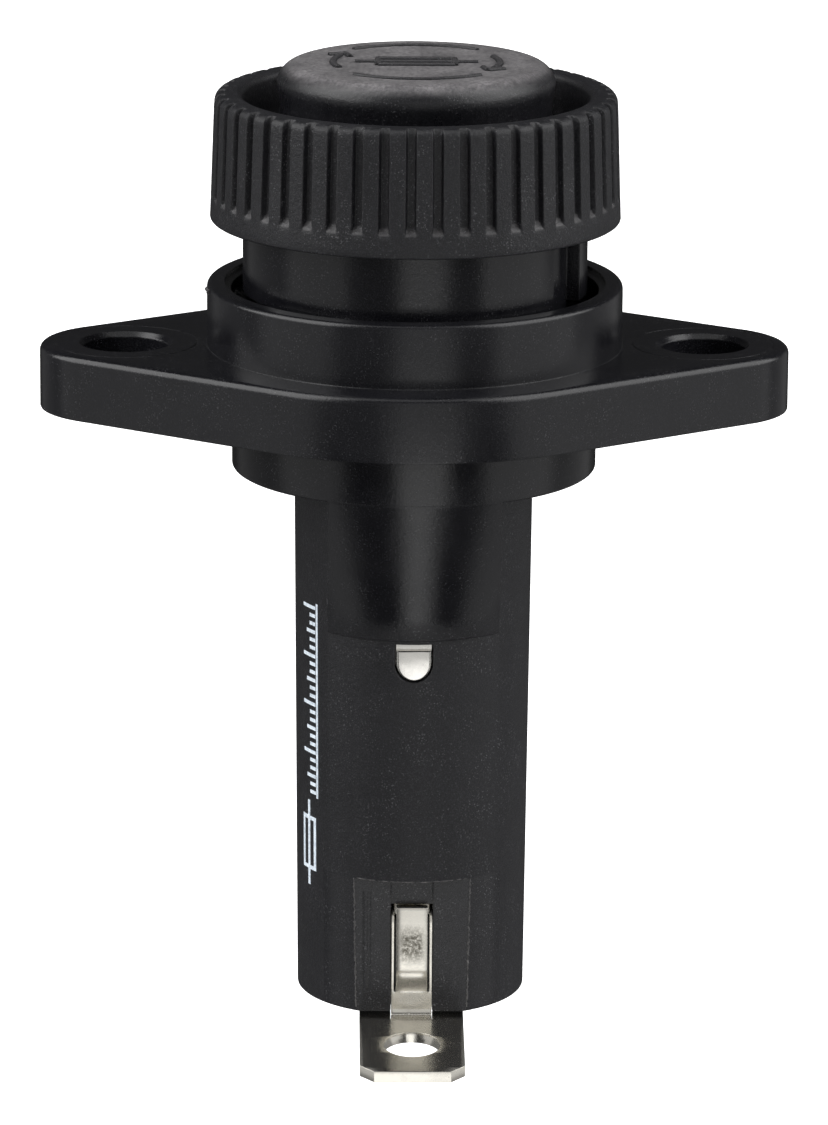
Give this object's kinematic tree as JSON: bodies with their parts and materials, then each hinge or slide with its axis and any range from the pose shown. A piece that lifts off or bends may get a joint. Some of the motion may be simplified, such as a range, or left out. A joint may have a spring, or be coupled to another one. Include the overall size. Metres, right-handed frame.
{
  "type": "cartridge fuse holder",
  "caption": "Flange-mount cartridge fuse holder: a black moulded barrel and flange, a fluted push-and-turn knob that carries the fuse, and quick-connect end and side terminals.",
  "frame": {"origin": "on the barrel's axis, level with the lowest corner of the end terminal's tab, 38.45 mm below the flange's underside", "axes": "+Z out of the panel along the barrel's axis towards the knob, +X towards one fixing hole, -Y the side the end terminal's tab leaves from"},
  "size_m": [0.0454, 0.0298, 0.0596],
  "materials": {
    "housing_plastic": "moulded phenolic, fine matte grain on the barrel and semi-gloss flange",
    "knob_plastic": "moulded phenolic, satin with worn flutes",
    "contact_metal": "nickel-plated spring bronze",
    "terminal_metal": "bright nickel-plated sheet with punched edges",
    "rivet_brass": "turned brass",
    "clip_metal": "spring bronze",
    "spring_steel": "drawn spring steel",
    "ferrule_metal": "nickel-plated brass cap",
    "fibre_disc": "vulcanised fibre",
    "tube_ceramic": "unglazed ceramic",
    "filler_sand": "packed quartz sand",
    "element_copper": "copper strip"
  },
  "bodies": {
    "housing": {"housing": "housing_plastic", "upper_contact": "contact_metal", "side_terminal": "terminal_metal", "side_terminal_rivet": "rivet_brass", "end_terminal": "terminal_metal", "end_contact_rivet": "rivet_brass"},
    "fuse_assembly": {"fuse_clip": "clip_metal", "clip_stem": "rivet_brass", "knob_spring": "spring_steel", "upper_ferrule": "ferrule_metal", "lower_ferrule": "ferrule_metal", "upper_fuse_disc": "fibre_disc", "lower_fuse_disc": "fibre_disc", "fuse_tube": "tube_ceramic", "fuse_filler": "filler_sand", "fuse_element": "element_copper"},
    "push_washer": {"thrust_washer": "spring_steel"},
    "knob": {"knob": "knob_plastic", "retaining_ring": "spring_steel"}
  },
  "joints": [
    {"name": "knob_withdraw", "type": "slide", "parent": "housing", "child": "fuse_assembly", "axis": [0, 0, 1], "range_m": [0, 0.04]},
    {"name": "knob_push", "type": "slide", "parent": "fuse_assembly", "child": "push_washer", "axis": [0, 0, 1], "range_m": [-0.0015, 0], "deforming": ["knob_spring"]},
    {"name": "knob_turn", "type": "hinge", "parent": "push_washer", "child": "knob", "pos_m": [0, 0, 0], "axis": [0, 0, 1], "range_deg": [-80, 0]}
  ]
}
